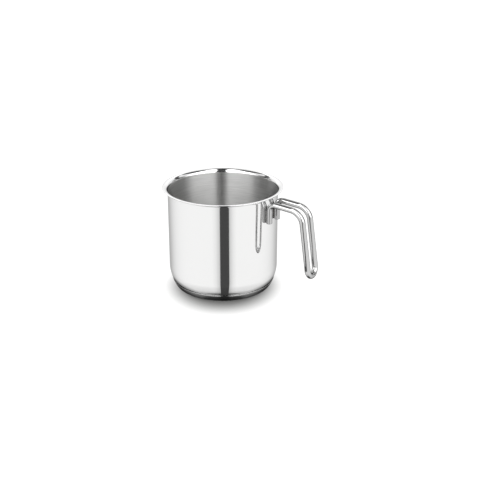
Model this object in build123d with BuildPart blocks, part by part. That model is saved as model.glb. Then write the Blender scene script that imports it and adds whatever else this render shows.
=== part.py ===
# A tall steel milk pan: a deep drawn vessel with a flared pouring rim, a thick base
# of aluminium enclosed in a steel cap, and a hairpin handle of round rod welded to the wall.
# Sizes are in millimetres and angles in degrees. The pan stands on the plane z = 0 with
# its axis on Z, and the handle points along +X.

import os
from math import asin, cos, degrees, radians, sin, sqrt, tan

from build123d import *

os.makedirs("parts", exist_ok=True)

# Vessel
inner_diameter = 140.0
wall_thickness = 0.75
total_height = 133.0
belly_radius = 40.0  # outside of the gentle curve where the wall starts to draw in
belly_turn = 28.0  # from the upright wall to where the tighter corner takes over
bottom_corner_radius = 8.3  # outside of that corner, which ends in the flat floor
rim_radius = 5.5  # upper surface of the flared rim
rim_turn = 110.0  # from the upright wall to the cut edge, so the edge points a little down
rim_edge_share = 0.4  # rounding of the cut edge, as a share of the wall

# Base
core_thickness = 3.6
braze_thickness = 0.2
cap_thickness = 0.6
cap_corner_radius = 2.5
cap_lean = 28.0  # of the cap's side, from upright
cap_edge_share = 0.3  # rounding of the lip's edges, as a share of the cap's thickness
groove_width = 0.4  # between the lip and the vessel
groove_depth = 2.0  # from the lip down to the core

# Handle
rod_diameter = 7.5
rod_spacing = 20.0  # between the centre lines of the two limbs
bend_below_rim = 8.1  # from the rim's top down to where leg and run would meet
leg_height = 25.8  # from that point down to the leg's cut foot
leg_bend_radius = 8.0
run_reach = 44.1  # from the legs out to where run and drop would meet
run_slope = 4.9  # of the run, downwards from level
knee_radius = 18.3
drop_length = 74.2  # from that point to the start of the loop
drop_lean = 8.3  # of the drop, outwards from upright
foot_bevel = 0.4

# Welds
weld_gap = 0.2  # between leg and wall at their nearest
weld_width = 3.0
weld_margin = 1.5  # between the weld's ends and the ends of the straight leg

quarter_turn = 90
half_turn = 2 * quarter_turn

# Vessel's centres: its corner rests on the base, and its belly runs on from the corner
inner_radius = inner_diameter / 2
outer_radius = inner_radius + wall_thickness
vessel_underside = cap_thickness + 2 * braze_thickness + core_thickness
belly_x = outer_radius - belly_radius
corner_x = belly_x + (belly_radius - bottom_corner_radius) * cos(radians(belly_turn))
corner_z = vessel_underside + bottom_corner_radius
belly_z = corner_z + (belly_radius - bottom_corner_radius) * sin(radians(belly_turn))
rim_x = inner_radius + rim_radius
rim_z = total_height - rim_radius

# The cap's lip ends beside the place where corner and belly meet
seam_radius = corner_x + bottom_corner_radius * cos(radians(belly_turn))
seam_height = corner_z - bottom_corner_radius * sin(radians(belly_turn))
lip_radius = seam_radius + groove_width + cap_thickness / cos(radians(cap_lean))
fill_height = seam_height - groove_depth

# Handle's corners, counted from the rim down and from the wall out
rod_radius = rod_diameter / 2
limb_offset = rod_spacing / 2
leg_distance = outer_radius + weld_gap + rod_radius
leg_x = sqrt(leg_distance**2 - limb_offset**2)
leg_angle = degrees(asin(limb_offset / leg_distance))
bend_z = total_height - bend_below_rim
foot_z = bend_z - leg_height
knee_x = leg_x + run_reach
knee_z = bend_z - run_reach * tan(radians(run_slope))
loop_x = knee_x + drop_length * sin(radians(drop_lean))
loop_z = knee_z - drop_length * cos(radians(drop_lean))

# The welds fill the straight part of each leg
straight_top = bend_z - leg_bend_radius * tan(radians((quarter_turn + run_slope) / 2))
weld_foot = foot_z + foot_bevel + weld_margin
weld_length = straight_top - weld_margin - weld_foot


def vessel_shape(growth):
    """Half section of the vessel below its rim, filled, with its outside grown by a thickness."""
    with BuildSketch() as shape:
        with BuildLine():
            floor_z = vessel_underside - growth
            floor = Line((0, floor_z), (corner_x, floor_z))
            corner_turn = quarter_turn - belly_turn
            CenterArc((corner_x, corner_z), bottom_corner_radius + growth, -quarter_turn, corner_turn)
            belly = CenterArc((belly_x, belly_z), belly_radius + growth, -belly_turn, belly_turn)
            Polyline(belly @ 1, (outer_radius + growth, rim_z), (0, rim_z), floor @ 0)
        make_face()
    return shape.sketch


def cap_side(height, depth):
    """Radius, at a height, of the surface that lies at a depth inside the cap's side."""
    lean_in = (seam_height - height) * tan(radians(cap_lean))
    return lip_radius - lean_in - depth / cos(radians(cap_lean))


def cap_shape(depth, top):
    """Half section of the space within the cap, at a depth inside its surface, up to a height."""
    with BuildSketch() as shape:
        with BuildLine():
            side = FilletPolyline(
                (0, depth),
                (cap_side(depth, depth), depth),
                (cap_side(top, depth), top),
                radius=cap_corner_radius - depth,
            )
            Polyline(side @ 1, (0, top), side @ 0)
        make_face()
    return shape.sketch


def finish_piece(piece, name):
    """Labels a finished piece and writes it under its name."""
    piece.part.label = name
    export_step(piece.part, f"parts/{name}.step")


# Vessel, one sheet of even thickness from the centre of the floor to the rim's cut edge
with BuildPart() as pan_body:
    with BuildSketch(Plane.XZ) as sheet_section:
        add(vessel_shape(0))
        add(vessel_shape(-wall_thickness), mode=Mode.SUBTRACT)
        with BuildLine():
            rim_under = CenterArc((rim_x, rim_z), rim_radius - wall_thickness, half_turn, -rim_turn)
            rim_top = CenterArc((rim_x, rim_z), rim_radius, half_turn, -rim_turn)
            Line(rim_under @ 0, rim_top @ 0)
            Line(rim_under @ 1, rim_top @ 1)
        make_face()
        rim_end = sheet_section.vertices().sort_by(Axis.X)[-2:]
        fillet(rim_end, radius=rim_edge_share * wall_thickness)
    revolve(axis=Axis.Z)
finish_piece(pan_body, "pan_body")

# Cap, a shallow dish whose lip stands clear of the vessel by the seam's groove
with BuildPart() as base_cap:
    with BuildSketch(Plane.XZ) as cap_section:
        add(cap_shape(0, seam_height))
        add(cap_shape(cap_thickness, seam_height), mode=Mode.SUBTRACT)
        lip_end = cap_section.vertices().group_by(Axis.Y)[-1]
        fillet(lip_end, radius=cap_edge_share * cap_thickness)
    revolve(axis=Axis.Z)
finish_piece(base_cap, "base_cap")

# Core, pressed out until it fills the cap up to the groove
with BuildPart() as base_core:
    with BuildSketch(Plane.XZ):
        add(cap_shape(cap_thickness + braze_thickness, fill_height))
        add(vessel_shape(braze_thickness), mode=Mode.SUBTRACT)
    revolve(axis=Axis.Z)
finish_piece(base_core, "base_core")

# Film between the core and the vessel
with BuildPart() as upper_braze:
    with BuildSketch(Plane.XZ):
        add(cap_shape(cap_thickness, fill_height))
        add(vessel_shape(braze_thickness), mode=Mode.INTERSECT)
        add(vessel_shape(0), mode=Mode.SUBTRACT)
    revolve(axis=Axis.Z)
finish_piece(upper_braze, "upper_braze")

# Film between the core and the cap
with BuildPart() as lower_braze:
    with BuildSketch(Plane.XZ):
        add(cap_shape(cap_thickness, fill_height))
        add(cap_shape(cap_thickness + braze_thickness, fill_height), mode=Mode.SUBTRACT)
        add(vessel_shape(braze_thickness), mode=Mode.SUBTRACT)
    revolve(axis=Axis.Z)
finish_piece(lower_braze, "lower_braze")

# Handle, one limb from its leg's foot to the middle of the loop, and its mirror image
drop_direction = (sin(radians(drop_lean)), 0, -cos(radians(drop_lean)))
loop_normal = (cos(radians(drop_lean)), 0, sin(radians(drop_lean)))
with BuildPart() as handle_rod:
    with BuildLine(Plane.XZ.offset(limb_offset)) as limb:
        FilletPolyline(
            (leg_x, foot_z),
            (leg_x, bend_z),
            (knee_x, knee_z),
            (loop_x, loop_z),
            radius=(leg_bend_radius, knee_radius),
        )
    with BuildLine(Plane((loop_x, 0, loop_z), x_dir=drop_direction, z_dir=loop_normal)):
        CenterArc((0, 0), limb_offset, -quarter_turn, quarter_turn)
    with BuildSketch(Plane(limb.line @ 0, z_dir=limb.line % 0)):
        Circle(rod_radius)
    sweep()
    mirror(about=Plane.XZ)
    feet = handle_rod.faces().filter_by(GeomType.PLANE)
    chamfer(feet.edges(), length=foot_bevel)
finish_piece(handle_rod, "handle_rod")

# Welds, the strip of metal that fills the space between each leg and the wall
for name, side in (("left_weld", -1), ("right_weld", 1)):
    with BuildPart() as weld:
        with BuildSketch(Plane.XY.offset(weld_foot)):
            with Locations((leg_x, side * limb_offset)):
                Rectangle(
                    leg_distance - inner_radius,
                    weld_width,
                    rotation=side * leg_angle,
                    align=(Align.MAX, Align.CENTER),
                )
                Circle(rod_radius, mode=Mode.SUBTRACT)
            Circle(outer_radius, mode=Mode.SUBTRACT)
        extrude(amount=weld_length)
    finish_piece(weld, name)
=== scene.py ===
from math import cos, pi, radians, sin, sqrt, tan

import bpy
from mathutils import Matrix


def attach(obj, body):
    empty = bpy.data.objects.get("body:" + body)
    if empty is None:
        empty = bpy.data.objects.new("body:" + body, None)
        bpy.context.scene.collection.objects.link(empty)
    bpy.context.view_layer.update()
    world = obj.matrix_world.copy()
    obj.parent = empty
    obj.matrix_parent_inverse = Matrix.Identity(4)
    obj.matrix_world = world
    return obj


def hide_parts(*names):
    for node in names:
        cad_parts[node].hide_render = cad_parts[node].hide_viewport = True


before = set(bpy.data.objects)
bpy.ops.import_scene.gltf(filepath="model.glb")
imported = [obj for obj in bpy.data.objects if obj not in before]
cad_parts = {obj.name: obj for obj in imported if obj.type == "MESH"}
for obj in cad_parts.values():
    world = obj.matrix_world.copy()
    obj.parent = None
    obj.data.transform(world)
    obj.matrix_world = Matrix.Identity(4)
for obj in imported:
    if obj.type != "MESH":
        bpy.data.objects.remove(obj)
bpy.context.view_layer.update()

# Steel milk pan: a mirror buffed vessel, satin inside, with a capped base and a hairpin handle.
# Sizes are in millimetres and turns in degrees; mm() and radians() take them to Blender's units.

quarterTurn = 90
fullTurn = 360


def mm(value):
    return value / 1000


def point(x, y, z):
    return (mm(x), mm(y), mm(z))


# Materials: helpers

def hexColour(text):  # sRGB hex to the linear colour that the shaders read
    linear = []
    for start in (0, 2, 4):
        share = int(text[start:start + 2], 16) / 255
        linear.append(share / 12.92 if share <= 0.04045 else ((share + 0.055) / 1.055) ** 2.4)
    return (*linear, 1)


def grey(value):
    return (value, value, value, 1)


def addNode(tree, kind, settings={}):
    # A setting is a property, or an input by its name or number. An input that is given a node
    # is linked to its first output, and one that is given a socket is linked to that.
    node = tree.nodes.new("ShaderNode" + kind)
    for name, value in settings.items():
        if name == "stops":
            for index, (place, colour) in enumerate(value):
                stops = node.color_ramp.elements
                stop = stops[index] if index < 2 else stops.new(place)
                stop.position = place
                stop.color = colour
        elif not isinstance(name, int) and name not in node.inputs:
            setattr(node, name, value)
        elif isinstance(value, bpy.types.Node):
            tree.links.new(value.outputs[0], node.inputs[name])
        elif isinstance(value, bpy.types.NodeSocket):
            tree.links.new(value, node.inputs[name])
        else:
            node.inputs[name].default_value = value
    return node


def newMaterial(name):
    material = bpy.data.materials.new(name)
    material.use_nodes = True
    material.node_tree.nodes.clear()
    return material, material.node_tree


def turnedPattern(tree, finish, detail=2.0):
    # Noise drawn out round the axis: lines follow the lathe on a wall and on a floor alike,
    # because radius plus height grows steadily along the pan's section
    place = addNode(tree, "TexCoord").outputs["Object"]
    x, y, z = addNode(tree, "SeparateXYZ", {0: place}).outputs
    flat = addNode(tree, "CombineXYZ", {"X": x, "Y": y})
    radius = addNode(tree, "VectorMath", {"operation": "LENGTH", 0: flat}).outputs["Value"]
    section = addNode(tree, "Math", {"operation": "ADD", 0: radius, 1: z})
    stretch = finish["lineLength"] / finish["lineSpacing"]
    lines = addNode(tree, "Math", {"operation": "MULTIPLY", 0: section, 1: stretch})
    drawn = addNode(tree, "CombineXYZ", {"X": x, "Y": y, "Z": lines})
    return addNode(tree, "TexNoise", {
        "Scale": 1 / mm(finish["lineLength"]), "Detail": detail, "Roughness": 0.6, "Vector": drawn,
    })


def patches(tree, size):  # even noise with patches of this size
    place = addNode(tree, "TexCoord").outputs["Object"]
    return addNode(tree, "TexNoise", {"Scale": 1 / mm(size), "Detail": 3.0, "Vector": place})


def colourStops(colours):  # for a ramp from one colour to the other, over the middle of a noise
    return tuple((place, hexColour(colour)) for place, colour in zip((0.3, 0.7), colours))


def closeMetal(tree, finish, roughBy, reliefBy, settings):
    # One metal shader: a pattern spreads the roughness between the finish's two values, and
    # another, or the same, gives the relief
    lowest, highest = finish["spread"]
    low, high = finish["roughness"]
    rough = addNode(tree, "MapRange", {
        "Value": roughBy, "From Min": lowest, "From Max": highest, "To Min": low, "To Max": high,
    })
    bump = addNode(tree, "Bump", {"Strength": 1.0, "Distance": mm(finish["relief"]), "Height": reliefBy})
    metal = addNode(tree, "BsdfPrincipled", {"Metallic": 1.0, "Roughness": rough, "Normal": bump, **settings})
    addNode(tree, "OutputMaterial", {"Surface": metal})


# Materials: finishes of the pan. "spread" gives the pattern's values between which the
# roughness goes from its low value to its high one, and "relief" is the height of the pattern.

mirrorFinish = {
    "colour": "E3E3E3",
    "edgeTint": "B4B4B4",  # steel gives back a little less light just before grazing
    "spread": (0.1, 0.45),
    "roughness": (0.035, 0.075),
    "hazePatch": 22.0,
    "lineSpacing": 1.6,  # real buffing lines are far finer, drawn coarser so that they show
    "lineLength": 45.0,
    "relief": 0.0004,
}


def mirrorBuffedSteel():
    # Deep drawn 18/10 stainless, buffed on a cotton wheel: a clear mirror with a faint haze
    # and the finest lines round the wall
    material, tree = newMaterial("mirrorBuffedSteel")
    finish = mirrorFinish
    lines = turnedPattern(tree, finish)
    haze = patches(tree, finish["hazePatch"])
    both = addNode(tree, "Math", {"operation": "MULTIPLY", 0: haze, 1: lines})
    closeMetal(tree, finish, both, lines, {
        "Base Color": hexColour(finish["colour"]), "Specular Tint": hexColour(finish["edgeTint"]),
    })
    return material


satinFinish = {
    "colours": ("C0C0BF", "D4D4D3"),
    "edgeTint": "303030",  # a rough wall shades itself where it is seen at a low angle
    "spread": (0.25, 0.75),
    "roughness": (0.37, 0.46),
    "lineSpacing": 0.9,  # real grit lines are 0.1 to 0.2 apart, drawn coarser so that they show
    "lineLength": 26.0,
    "lineDetail": 4.0,
    "relief": 0.012,
}


def satinBrushedSteel():
    # The same steel inside, brushed round the axis with a fine abrasive belt: lines round the
    # wall smear every reflection up and down into soft upright bands
    material, tree = newMaterial("satinBrushedSteel")
    finish = satinFinish
    lines = turnedPattern(tree, finish, finish["lineDetail"])
    lay = addNode(tree, "Tangent", {"direction_type": "RADIAL", "axis": "Z"})
    colour = addNode(tree, "ValToRGB", {"stops": colourStops(finish["colours"]), "Fac": lines})
    closeMetal(tree, finish, lines, lines, {
        "Base Color": colour, "Specular Tint": hexColour(finish["edgeTint"]),
        "Anisotropic": 1.0, "Anisotropic Rotation": 0.25, "Tangent": lay,
    })
    return material


rodFinish = {
    "colour": "C0C0C0",
    "edgeTint": "202020",
    "spread": (0.3, 0.7),
    "roughness": (0.03, 0.07),
    "peelPatch": 3.0,
    "relief": 0.0006,
}


def polishedRodSteel():
    # Drawn round bar, bent cold and vibratory polished: bright as a mirror, with a faint orange
    # peel that breaks up the edges of what it reflects
    material, tree = newMaterial("polishedRodSteel")
    finish = rodFinish
    peel = patches(tree, finish["peelPatch"])
    closeMetal(tree, finish, peel, peel, {
        "Base Color": hexColour(finish["colour"]), "Specular Tint": hexColour(finish["edgeTint"]),
    })
    return material


capFinish = {
    "colours": ("9E9E9E", "C0C0C0"),
    "edgeTint": "8C8C8C",
    "spread": (0.3, 0.7),
    "roughness": (0.1, 0.22),
    "lineSpacing": 1.4,  # the turning tool's rings, drawn coarser than real so that they show
    "lineLength": 60.0,
    "relief": 0.0025,
}


def pressedCapSteel():
    # Magnetic 18/0 steel, pressed cold over the core and turned clean: greyer than the vessel,
    # with rings round the underside
    material, tree = newMaterial("pressedCapSteel")
    finish = capFinish
    rings = turnedPattern(tree, finish)
    colour = addNode(tree, "ValToRGB", {"stops": colourStops(finish["colours"]), "Fac": rings})
    closeMetal(tree, finish, rings, rings, {
        "Base Color": colour, "Specular Tint": hexColour(finish["edgeTint"]),
    })
    return material


coreFinish = {
    "colours": ("B9BABC", "D3D4D6"),
    "spread": (0.3, 0.7),
    "roughness": (0.38, 0.55),
    "lineSpacing": 0.7,
    "lineLength": 9.0,
    "relief": 0.01,
}


def pressedAluminium():
    # Soft aluminium, squeezed out under the press: dull and pale, with short flow lines round its
    # edge, seen only at the bottom of the seam
    material, tree = newMaterial("pressedAluminium")
    finish = coreFinish
    flow = turnedPattern(tree, finish)
    colour = addNode(tree, "ValToRGB", {"stops": colourStops(finish["colours"]), "Fac": flow})
    closeMetal(tree, finish, flow, flow, {"Base Color": colour})
    return material


brazeFinish = {
    "colours": ("6E6B66", "96928B"),
    "spread": (0.3, 0.7),
    "roughness": (0.5, 0.75),
    "beadPatch": 2.5,
    "relief": 0.03,
}


def dullBraze():
    # Brazing metal that has run and set between the plates: grey brown, uneven and matt
    material, tree = newMaterial("dullBraze")
    finish = brazeFinish
    beads = patches(tree, finish["beadPatch"])
    colour = addNode(tree, "ValToRGB", {"stops": colourStops(finish["colours"]), "Fac": beads})
    closeMetal(tree, finish, beads, beads, {"Base Color": colour})
    return material


weldFinish = {
    "colours": ("8F8B84", "C2C0BB"),
    "spread": (0.0, 1.0),
    "roughness": (0.2, 0.4),
    "rippleSpacing": 1.2,
    "rippleWander": 2.0,
    "tintPatch": 2.4,
    "relief": 0.06,
}


def rippledWeld():
    # Weld bead, brushed clean: one ripple for each pulse up the leg, and a trace of the heat's
    # straw tint that gives the joint a slightly warmer grey than the rod
    material, tree = newMaterial("rippledWeld")
    finish = weldFinish
    place = addNode(tree, "TexCoord").outputs["Object"]
    ripples = addNode(tree, "TexWave", {  # its bands are pi / 10 apart at a scale of 1
        "bands_direction": "Z", "Scale": pi / 10 / mm(finish["rippleSpacing"]), "Detail": 2.0,
        "Distortion": finish["rippleWander"], "Vector": place,
    }).outputs["Fac"]
    tint = patches(tree, finish["tintPatch"])
    colour = addNode(tree, "ValToRGB", {"stops": colourStops(finish["colours"]), "Fac": tint})
    closeMetal(tree, finish, ripples, ripples, {"Base Color": colour})
    return material


def dressNodes(material, *names):  # nodes that stay as the CAD made them
    for name in names:
        node = bpy.data.objects[name]
        for slot in node.material_slots:
            slot.material = material
    print("dressed:", *names)


# Modelling: helpers for operators

floorRings = (0.2, 0.5, 0.3)  # a floor's rings, as shares of its radius from the centre out
mergeWithin = 0.005  # points this near become one
sheetInwards = {"offset": -1, "use_even_offset": True, "use_quality_normals": True}
sharpEdges = {"limit_method": "ANGLE", "angle_limit": radians(50)}


def startProfile(name, z):
    # A small plane merged to one vertex, from which a half section is drawn in the XZ plane
    bpy.ops.object.select_all(action="DESELECT")
    bpy.ops.mesh.primitive_plane_add(size=mm(1), location=point(0, 0, z))
    piece = bpy.context.object
    piece.name = name
    piece.data.name = name
    bpy.ops.object.transform_apply(location=True)
    bpy.ops.object.mode_set(mode="EDIT")
    bpy.ops.mesh.select_all(action="SELECT")
    bpy.ops.mesh.merge(type="CENTER")
    return piece


def extrudeBy(x, y, z):
    bpy.ops.mesh.extrude_region_move(TRANSFORM_OT_translate={"value": point(x, y, z)})


def spinAbout(centre, axis, turn, steps):
    bpy.ops.mesh.spin(steps=steps, angle=radians(turn), center=point(*centre), axis=axis)


def turnProfile(piece, steps):  # the half section becomes a shell of revolution, its faces outwards
    bpy.ops.mesh.select_all(action="SELECT")
    spinAbout((0, 0, 0), (0, 0, 1), fullTurn, steps)
    bpy.ops.mesh.select_all(action="SELECT")
    bpy.ops.mesh.remove_doubles(threshold=mm(mergeWithin))
    bpy.ops.mesh.normals_make_consistent(inside=False)
    bpy.ops.object.mode_set(mode="OBJECT")
    lowest = min(piece.data.polygons, key=lambda face: face.center.z)
    if lowest.normal.z > 0:  # a deep dish is taken for its own hollow
        bpy.ops.object.mode_set(mode="EDIT")
        bpy.ops.mesh.flip_normals()
        bpy.ops.object.mode_set(mode="OBJECT")


def applyModifier(piece, kind, settings):
    modifier = piece.modifiers.new(kind.title(), kind)
    for name, value in settings.items():
        setattr(modifier, name, value)
    bpy.ops.object.modifier_apply(modifier=modifier.name)


def finishPiece(piece, smoothUpTo, node):
    # Smooth but for the edges that turn more than this, and handed over in place of a node
    bpy.ops.object.select_all(action="DESELECT")
    piece.select_set(True)
    bpy.context.view_layer.objects.active = piece
    bpy.ops.object.shade_smooth_by_angle(angle=radians(smoothUpTo))
    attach(piece, "root")
    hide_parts(node)
    print(node, "made:", len(piece.data.polygons), "faces")


# Vessel

vessel = {
    "innerRadius": 70.0,
    "wall": 0.75,
    "height": 133.0,
    "underside": 4.6,  # of its floor, which rests on the base
    "bellyRadius": 40.0,  # outside of the gentle curve where the wall draws in
    "bellyTurn": 28.0,
    "cornerRadius": 8.3,  # outside of the tighter corner, which ends in the floor
    "rimRadius": 5.5,  # upper surface of the flared rim
    "rimTurn": 110.0,  # from the upright wall to the cut edge
    "rimEdge": 0.3,
    "rimEdgeSteps": 4,
    "buffedRim": 4.4,  # from the rim's top down to where the satin starts
    "steps": 256,  # round the axis
    "bellySteps": 14,
    "cornerSteps": 14,
    "rimSteps": 24,
    "edgeLoop": 1.5,  # distance of a supporting loop from the ends of the straight wall
    "smoothUpTo": 40.0,
}
outerRadius = vessel["innerRadius"] + vessel["wall"]
bellyX = outerRadius - vessel["bellyRadius"]
cornerShift = vessel["bellyRadius"] - vessel["cornerRadius"]
cornerX = bellyX + cornerShift * cos(radians(vessel["bellyTurn"]))
cornerZ = vessel["underside"] + vessel["cornerRadius"]
bellyZ = cornerZ + cornerShift * sin(radians(vessel["bellyTurn"]))
rimX = vessel["innerRadius"] + vessel["rimRadius"]
rimZ = vessel["height"] - vessel["rimRadius"]


def makeVessel():
    piece = startProfile("pan_shell", vessel["underside"])
    for share in floorRings:
        extrudeBy(share * cornerX, 0, 0)
    cornerTurn = quarterTurn - vessel["bellyTurn"]
    spinAbout((cornerX, 0, cornerZ), (0, 1, 0), cornerTurn, vessel["cornerSteps"])
    spinAbout((bellyX, 0, bellyZ), (0, 1, 0), vessel["bellyTurn"], vessel["bellySteps"])
    extrudeBy(0, 0, vessel["edgeLoop"])
    extrudeBy(0, 0, rimZ - bellyZ - 2 * vessel["edgeLoop"])
    extrudeBy(0, 0, vessel["edgeLoop"])
    spinAbout((rimX, 0, rimZ), (0, 1, 0), -vessel["rimTurn"], vessel["rimSteps"])
    turnProfile(piece, vessel["steps"])
    piece.data.materials.append(mirrorBuffedSteel())
    piece.data.materials.append(satinBrushedSteel())
    applyModifier(piece, "SOLIDIFY", {
        **sheetInwards, "thickness": mm(vessel["wall"]), "material_offset": 1,
    })
    applyModifier(piece, "BEVEL", {
        **sharpEdges, "width": mm(vessel["rimEdge"]), "segments": vessel["rimEdgeSteps"],
    })
    for face in piece.data.polygons:  # the rim is buffed on its upper side too
        if face.center.z > mm(vessel["height"] - vessel["buffedRim"]):
            face.material_index = 0
    finishPiece(piece, vessel["smoothUpTo"], "pan_body")


# Base

base = {
    "cap": 0.6,
    "capCorner": 2.5,
    "capLean": 28.0,  # of the cap's side, from upright
    "capCrown": 12.0,  # turn of the cap's side between its corner and its lip
    "groove": 0.4,  # between the lip and the vessel
    "lipEdge": 0.18,
    "lipEdgeSteps": 3,
    "steps": 256,  # round the axis
    "cornerSteps": 12,
    "sideSteps": 8,
    "smoothUpTo": 40.0,
}


def makeCap():
    lean = radians(base["capLean"])
    corner = base["capCorner"]
    lipHeight = cornerZ - vessel["cornerRadius"] * sin(radians(vessel["bellyTurn"]))
    seamRadius = cornerX + vessel["cornerRadius"] * cos(radians(vessel["bellyTurn"]))
    lipRadius = seamRadius + base["groove"] + base["cap"] / cos(lean)
    cut = corner * tan((radians(quarterTurn) - lean) / 2)
    flatRadius = lipRadius - lipHeight * tan(lean) - cut
    # The side is one shallow arc from the corner's end up to the lip, as the press leaves it
    turn = quarterTurn - base["capLean"]
    footX = flatRadius + corner * sin(radians(turn))
    footZ = corner * (1 - cos(radians(turn)))
    across, up = lipRadius - footX, lipHeight - footZ
    side = sqrt(across ** 2 + up ** 2)
    halfCrown = radians(base["capCrown"] / 2)
    back = side / 2 / sin(halfCrown) * cos(halfCrown)  # from the side's middle to the arc's centre
    centre = (footX + across / 2 - back * up / side, 0, footZ + up / 2 + back * across / side)
    piece = startProfile("cap_shell", 0)
    for share in floorRings:
        extrudeBy(share * flatRadius, 0, 0)
    spinAbout((flatRadius, 0, corner), (0, 1, 0), turn, base["cornerSteps"])
    spinAbout(centre, (0, 1, 0), base["capCrown"], base["sideSteps"])
    turnProfile(piece, base["steps"])
    applyModifier(piece, "SOLIDIFY", {**sheetInwards, "thickness": mm(base["cap"])})
    applyModifier(piece, "BEVEL", {
        **sharpEdges, "width": mm(base["lipEdge"]), "segments": base["lipEdgeSteps"],
    })
    piece.data.materials.append(pressedCapSteel())
    finishPiece(piece, base["smoothUpTo"], "base_cap")


# Handle

handle = {
    "rod": 7.5,
    "spacing": 20.0,  # between the centre lines of the two limbs
    "weldGap": 0.2,
    "bendBelowRim": 8.1,  # from the rim's top down to where leg and run would meet
    "leg": 25.8,  # from there down to the leg's cut foot
    "legBend": 8.0,
    "reach": 44.1,  # from the legs out to where run and drop would meet
    "slope": 4.9,  # of the run, downwards from level
    "knee": 18.3,
    "drop": 74.2,  # from there to the start of the loop
    "lean": 8.3,  # of the drop, outwards from upright
    "footBevel": 0.4,
    "sides": 64,
    "legSteps": 28,
    "kneeSteps": 28,
    "loopTurn": 90.0,  # of one limb's half of the loop
    "loopSteps": 24,
    "edgeLoop": 1.0,  # distance of a supporting loop from the ends of a straight run
    "mergeWithin": 0.01,  # where the two limbs meet in the loop
    "smoothUpTo": 30.0,
}


def runAlong(way, length):  # a straight run of rod, with a supporting loop near each end
    for part in (handle["edgeLoop"], length - 2 * handle["edgeLoop"], handle["edgeLoop"]):
        extrudeBy(*[part * share for share in way])


def startRod(x, y, z):  # one end of the rod, a ring that widens over the bevel of its foot
    radius = handle["rod"] / 2
    start = radius - handle["footBevel"]
    bpy.ops.object.select_all(action="DESELECT")
    bpy.ops.mesh.primitive_circle_add(
        vertices=handle["sides"], radius=mm(start), fill_type="NOTHING", location=point(x, y, z),
    )
    piece = bpy.context.object
    piece.name = "rod_handle"
    piece.data.name = "rod_handle"
    bpy.ops.object.transform_apply(location=True)
    bpy.ops.object.mode_set(mode="EDIT")
    bpy.ops.mesh.select_all(action="SELECT")
    extrudeBy(0, 0, handle["footBevel"])
    bpy.ops.transform.resize(
        value=(radius / start, radius / start, 1), center_override=point(x, y, z + handle["footBevel"]),
    )
    return piece


def makeHandle():
    offset = handle["spacing"] / 2
    legX = sqrt((outerRadius + handle["weldGap"] + handle["rod"] / 2) ** 2 - offset ** 2)
    bendZ = vessel["height"] - handle["bendBelowRim"]
    footZ = bendZ - handle["leg"]
    slope, lean = radians(handle["slope"]), radians(handle["lean"])
    legTurn = quarterTurn + handle["slope"]
    kneeTurn = quarterTurn - handle["lean"] - handle["slope"]
    legCut = handle["legBend"] * tan(radians(legTurn / 2))  # what the bend takes off each side of it
    kneeCut = handle["knee"] * tan(radians(kneeTurn / 2))
    run = handle["reach"] / cos(slope) - legCut - kneeCut
    runWay = (cos(slope), 0, -sin(slope))
    dropWay = (sin(lean), 0, -cos(lean))
    kneeX, kneeZ = legX + handle["reach"], bendZ - handle["reach"] * tan(slope)
    kneeCentre = (
        kneeX - kneeCut * cos(slope) - handle["knee"] * sin(slope), -offset,
        kneeZ + kneeCut * sin(slope) - handle["knee"] * cos(slope),
    )
    loopCentre = (kneeX + handle["drop"] * sin(lean), 0, kneeZ - handle["drop"] * cos(lean))

    piece = startRod(legX, -offset, footZ)
    runAlong((0, 0, 1), handle["leg"] - handle["footBevel"] - legCut)
    spinAbout((legX + handle["legBend"], -offset, bendZ - legCut), (0, 1, 0), -legTurn, handle["legSteps"])
    runAlong(runWay, run)
    spinAbout(kneeCentre, (0, 1, 0), -kneeTurn, handle["kneeSteps"])
    runAlong(dropWay, handle["drop"] - kneeCut)
    spinAbout(loopCentre, (cos(lean), 0, sin(lean)), -handle["loopTurn"], handle["loopSteps"])
    bpy.ops.object.mode_set(mode="OBJECT")
    applyModifier(piece, "MIRROR", {
        "use_axis": (False, True, False), "merge_threshold": mm(handle["mergeWithin"]),
    })
    bpy.ops.object.mode_set(mode="EDIT")
    bpy.ops.mesh.select_all(action="DESELECT")
    bpy.ops.mesh.select_non_manifold()
    bpy.ops.mesh.edge_face_add()
    bpy.ops.mesh.select_all(action="SELECT")
    bpy.ops.mesh.normals_make_consistent(inside=False)
    bpy.ops.object.mode_set(mode="OBJECT")
    piece.data.materials.append(polishedRodSteel())
    finishPiece(piece, handle["smoothUpTo"], "handle_rod")


# Studio: helpers

def facingPlace(tree, output, turn):
    # A place, or a direction in the world, turned so that -Y faces this far round the pan
    place = addNode(tree, "TexCoord").outputs[output]
    return addNode(tree, "VectorRotate", {
        "rotation_type": "Z_AXIS", "Angle": -radians(turn), "Vector": place,
    })


def rampStops(pairs, whole=1.0):
    return tuple((place / whole, grey(value)) for place, value in pairs)


def softEdge(start, end):  # a soft step from 0 to 1
    return {"interpolation_type": "SMOOTHSTEP", "From Min": start, "From Max": end}


def zone(tree, value, comesIn, other, goesOut):
    # 1 where a value is past its soft edge and another is short of its own, and 0 elsewhere
    start = addNode(tree, "MapRange", {**softEdge(*comesIn), "Value": value})
    end = addNode(tree, "MapRange", {**softEdge(*goesOut), "Value": other})
    return addNode(tree, "Math", {"operation": "SUBTRACT", "use_clamp": True, 0: start, 1: end})


def darken(tree, shade, amount, light):  # the shade falls to its share of light where the amount is 1
    share = addNode(tree, "MapRange", {"Value": amount, "To Min": 1.0, "To Max": light})
    return addNode(tree, "Math", {"operation": "MULTIPLY", 0: shade, 1: share})


# Studio: camera

view = {
    "place": (551.0, -870.9, 476.8),  # of the camera's lens
    "tilt": 67.88,
    "turn": 31.1,  # from the front of the pan towards its handle
    "lens": 63.75,
    "sensor": 36.0,
}


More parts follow.
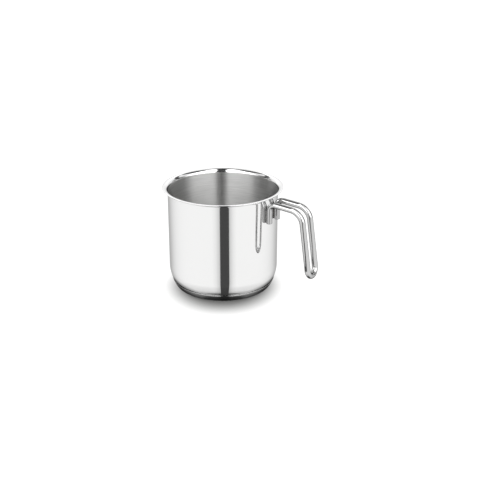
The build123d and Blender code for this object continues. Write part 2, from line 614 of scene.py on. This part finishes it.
def makeCamera():
    data = bpy.data.cameras.new("camera")
    data.lens = view["lens"]
    data.sensor_width = view["sensor"]
    camera = bpy.data.objects.new("camera", data)
    bpy.context.scene.collection.objects.link(camera)
    camera.location = point(*view["place"])
    camera.rotation_euler = (radians(view["tilt"]), 0, radians(view["turn"]))
    bpy.context.scene.camera = camera
    print("camera placed")


# Studio: tent

# Turns run to either side from the slit, and heights are sines, 0 level and 1 overhead. A pair
# is a soft edge, and two pairs are where a zone comes in and where it goes out.
tent = {
    "wall": 1.2,  # brightness of the tent's wall and roof
    "softbox": 3.0,  # of the diffuser over the camera
    "softboxHeights": (0.02, 0.22),
    "softboxTurns": (62.0, 82.0),
    "backdrop": 1.7,  # of the backdrop, which lights the rim from behind
    "backdropTurns": (140.0, 156.0),
    "backdropHeights": (0.64, 0.76),
    "sideTurns": ((76.0, 90.0), (118.0, 134.0)),  # a wall on each side, less lit
    # its brightness by height: dim near the table and open at half height
    "sideLight": ((0.0, 0.22), (0.17, 0.25), (0.42, 0.58), (0.66, 1.0), (1.0, 1.0)),
    "panelTurns": ((58.0, 70.0), (148.0, 160.0)),  # a dark panel in the roof over each side
    "panelHeights": ((0.7, 0.76), (0.95, 0.975)),
    "panelLight": 0.1,
    "seamTilt": 49.0,  # of the plane through roof seam and pan, up from the backdrop's foot
    "seamPlace": -0.015,
    "seamHalf": (0.06, 0.12),  # dark up to the first, open light from the second
    "seamStart": (0.38, 0.5),  # how far to the side it begins, as a sine
    "seamFoot": (0.05, 0.15),  # the height where it begins
    "seamLight": 0.12,
    "slitTurn": 35.6,  # from the front of the pan, a little further round than the camera
    "slitHalf": (0.235, 0.1),  # of the slit, as a sine to either side, at the table and overhead
    "slitSoft": 0.03,
    "slitEnds": (0.6, 0.76),  # behind the zenith, where the slit closes, as a sine
    "slitLight": 0.025,
}


def inRadians(turns):
    return [radians(turn) for turn in turns]


def makeTent():
    # The pan stands in a white light tent. The camera looks in through a dark slit, which the
    # mirror wall shows as one upright dark band. Panels and a seam in the roof draw the dark
    # lines along the rods.
    world = bpy.data.worlds.new("lightTent")
    bpy.context.scene.world = world
    world.use_nodes = True
    tree = world.node_tree
    tree.nodes.clear()
    facing = facingPlace(tree, "Generated", tent["slitTurn"])
    right, back, up = addNode(tree, "SeparateXYZ", {0: facing}).outputs
    side = addNode(tree, "Math", {"operation": "ABSOLUTE", 0: right})
    front = addNode(tree, "Math", {"operation": "MULTIPLY", 0: back, 1: -1.0})
    turn = addNode(tree, "Math", {"operation": "ARCTAN2", 0: side, 1: front})

    # The diffuser over the camera
    softbox = zone(tree, up, tent["softboxHeights"], turn, inRadians(tent["softboxTurns"]))
    shade = addNode(tree, "MapRange", {
        "Value": softbox, "To Min": tent["wall"], "To Max": tent["softbox"],
    })

    # The backdrop
    backdrop = zone(tree, turn, inRadians(tent["backdropTurns"]), up, tent["backdropHeights"])
    shade = addNode(tree, "Math", {
        "operation": "MULTIPLY_ADD", 0: backdrop, 1: tent["backdrop"] - tent["wall"], 2: shade,
    })

    # The side walls
    comesIn, goesOut = (inRadians(pair) for pair in tent["sideTurns"])
    sideWall = zone(tree, turn, comesIn, turn, goesOut)
    heights = addNode(tree, "ValToRGB", {"stops": rampStops(tent["sideLight"]), "Fac": up})
    share = addNode(tree, "Mix", {"Factor": sideWall, "A": 1.0, "B": heights})
    shade = addNode(tree, "Math", {"operation": "MULTIPLY", 0: shade, 1: share})

    # The roof's panel over each side
    comesIn, goesOut = (inRadians(pair) for pair in tent["panelTurns"])
    panel = zone(tree, turn, comesIn, turn, goesOut)
    comesIn, goesOut = tent["panelHeights"]
    across = zone(tree, up, comesIn, up, goesOut)
    panel = addNode(tree, "Math", {"operation": "MULTIPLY", 0: panel, 1: across})
    shade = darken(tree, shade, panel, tent["panelLight"])

    # The seam between roof and backdrop, dark towards both sides
    tilt = radians(tent["seamTilt"])
    off = addNode(tree, "VectorMath", {
        "operation": "DOT_PRODUCT", 0: facing, 1: (0, sin(tilt), -cos(tilt)),
    }).outputs["Value"]
    off = addNode(tree, "Math", {"operation": "SUBTRACT", 0: off, 1: tent["seamPlace"]})
    off = addNode(tree, "Math", {"operation": "ABSOLUTE", 0: off})
    seam = zone(tree, side, tent["seamStart"], off, tent["seamHalf"])
    foot = addNode(tree, "MapRange", {**softEdge(*tent["seamFoot"]), "Value": up})
    seam = addNode(tree, "Math", {"operation": "MULTIPLY", 0: seam, 1: foot})
    shade = darken(tree, shade, seam, tent["seamLight"])

    # The slit that the camera looks through, from the table up over the roof
    low, high = tent["slitHalf"]
    edge = softEdge(low - tent["slitSoft"], low + tent["slitSoft"])
    aside = addNode(tree, "Math", {"operation": "MULTIPLY_ADD", 0: up, 1: low - high, 2: side})
    slit = addNode(tree, "MapRange", {**edge, "Value": aside, "To Min": 1.0, "To Max": 0.0})
    ends = softEdge(*tent["slitEnds"])
    ahead = addNode(tree, "MapRange", {**ends, "Value": back, "To Min": 1.0, "To Max": 0.0})
    slit = addNode(tree, "Math", {"operation": "MULTIPLY", 0: slit, 1: ahead})
    shade = darken(tree, shade, slit, tent["slitLight"])

    # The camera itself sees plain white
    cameraRay = addNode(tree, "LightPath").outputs["Is Camera Ray"]
    seen = addNode(tree, "Mix", {"Factor": cameraRay, "A": shade, "B": 1.0})
    light = addNode(tree, "Background", {"Color": grey(1.0), "Strength": seen})
    addNode(tree, "OutputWorld", {"Surface": light})
    bpy.context.scene.view_settings.view_transform = "Standard"
    print("tent lit")


# Studio: table

lightTable = {
    "radius": 9000.0,  # far past the point where a wall reflects its end
    "sides": 96,
    "colour": "6E6E6D",
    "glow": 0.96,
    "turn": 32.3,  # of the camera's place, from the front of the pan
    # painted shadow of the pan: the table's glow is cut away in an oval round the base, over the real
    # shadow of its diffuse part. Half its size sideways and towards the camera, how far it lies
    # that way, and its soft edge in shares of that size, from full shadow to open table
    "paintedShadow": {"half": (77.0, 87.0), "lean": 16.0, "edge": (0.54, 1.12)},
    "paintedFootShade": {"half": (82.88, 74.0), "lean": 0.0, "edge": (0.7838, 1.0)},  # painted shadow round the base, as the steel sees it
    # black felt in front of the camera, a wedge that the upright wall shows as one even band
    "feltStart": 60.0,  # from the pan's axis
    "feltPlace": 0.0245,
    "feltHalf": 0.0815,
    "beside": ((0, 0.065), (0.96, 0.065), (1.08, 0.64), (1.5, 0.77), (2.0, 0.9), (2.9, 1.0), (4, 1.0)),
    # painted shade for the steel's reflections: the table's light is full at a low angle and falls
    # nearly to black where it is seen from straight above, which darkens what faces down towards it
    "paintedShadeFromAbove": ((0.02, 0.08), (0.06, 0.15), (0.09, 0.58), (0.16, 0.8), (0.23, 0.84), (0.29, 0.88), (0.4, 1.0)),
    "darkest": 0.05,  # share of the light that the felt and the painted shade from above keep
}


def paintedShadowOval(tree, facing, oval):  # 0 in the painted shadow round the pan, 1 on the open table
    halfSide, halfFront = oval["half"]
    place = addNode(tree, "Mapping", {
        "vector_type": "TEXTURE", "Vector": facing, "Location": point(0, -oval["lean"], 0),
        "Scale": (mm(halfSide), mm(halfFront), 1),
    })
    away = addNode(tree, "VectorMath", {"operation": "LENGTH", 0: place}).outputs["Value"]
    return addNode(tree, "MapRange", {**softEdge(*oval["edge"]), "Value": away})


def glowingTableWithPaintedShade():
    # A sheet glowing over lamps. The camera sees it white round the pan's shadow, which is painted into
    # the glow over the real shadow of its diffuse part. Polished steel also sees the black felt, a painted
    # shadow round the base, and painted shade where the sheet is seen from above.
    material, tree = newMaterial("glowingTableWithPaintedShade")
    facing = facingPlace(tree, "Object", lightTable["turn"])
    right, back = addNode(tree, "SeparateXYZ", {0: facing}).outputs[:2]
    front = addNode(tree, "Math", {"operation": "MULTIPLY", 0: back, 1: -1.0})
    cameraRay = addNode(tree, "LightPath").outputs["Is Camera Ray"]
    # painted shadows: the table's glow is cut away round the pan, in one oval for the camera and one for what
    # the steel reflects
    cameraPaintedShadow = paintedShadowOval(tree, facing, lightTable["paintedShadow"])
    steelPaintedShadow = paintedShadowOval(tree, facing, lightTable["paintedFootShade"])
    glow = addNode(tree, "Mix", {"Factor": cameraRay, "A": steelPaintedShadow, "B": cameraPaintedShadow})
    glow = addNode(tree, "Math", {"operation": "MULTIPLY", 0: glow, 1: lightTable["glow"]})

    # The felt's wedge, in half widths from its middle
    run = addNode(tree, "Math", {"operation": "MULTIPLY_ADD", 0: front, 1: 2.0, 2: -mm(outerRadius)})
    run = addNode(tree, "Math", {"operation": "MAXIMUM", 0: run, 1: mm(1)})
    wedge = addNode(tree, "Math", {"operation": "DIVIDE", 0: right, 1: run})
    aside = addNode(tree, "Math", {"operation": "SUBTRACT", 0: wedge, 1: lightTable["feltPlace"]})
    aside = addNode(tree, "Math", {"operation": "ABSOLUTE", 0: aside})
    widest = lightTable["beside"][-1][0]
    aside = addNode(tree, "Math", {"operation": "DIVIDE", 0: aside, 1: lightTable["feltHalf"] * widest})
    felt = addNode(tree, "ValToRGB", {"stops": rampStops(lightTable["beside"], widest), "Fac": aside})
    before = addNode(tree, "Math", {"operation": "LESS_THAN", 0: front, 1: mm(lightTable["feltStart"])})
    felt = addNode(tree, "Math", {"operation": "MAXIMUM", 0: felt, 1: before})

    # Painted shade from above: how much of the table steel sees at this angle
    angle = addNode(tree, "LayerWeight", {"Blend": 0.5}).outputs["Facing"]
    paintedShadeFromAbove = addNode(tree, "ValToRGB", {"stops": rampStops(lightTable["paintedShadeFromAbove"]), "Fac": angle})
    seen = addNode(tree, "Math", {"operation": "MULTIPLY", 0: felt, 1: paintedShadeFromAbove})
    seen = addNode(tree, "Math", {"operation": "MAXIMUM", 0: seen, 1: lightTable["darkest"]})
    seen = addNode(tree, "Math", {"operation": "MAXIMUM", 0: seen, 1: cameraRay})

    acrylic = addNode(tree, "BsdfDiffuse", {"Color": hexColour(lightTable["colour"])})
    light = addNode(tree, "Emission", {"Color": grey(1.0), "Strength": glow})
    lit = addNode(tree, "AddShader", {0: acrylic, 1: light})
    black = addNode(tree, "BsdfDiffuse", {"Color": grey(0.0)})
    shown = addNode(tree, "MixShader", {"Fac": seen, 1: black, 2: lit})
    addNode(tree, "OutputMaterial", {"Surface": shown})
    return material


def makeTable():
    bpy.ops.object.select_all(action="DESELECT")
    bpy.ops.mesh.primitive_circle_add(
        vertices=lightTable["sides"], radius=mm(lightTable["radius"]), fill_type="NGON",
    )
    piece = bpy.context.object
    piece.name = "light_table"
    piece.data.materials.append(glowingTableWithPaintedShade())
    print("table laid")


makeVessel()
makeCap()
makeHandle()
dressNodes(pressedAluminium(), "base_core")
dressNodes(dullBraze(), "upper_braze", "lower_braze")
dressNodes(rippledWeld(), "left_weld", "right_weld")
makeTent()
makeTable()
makeCamera()
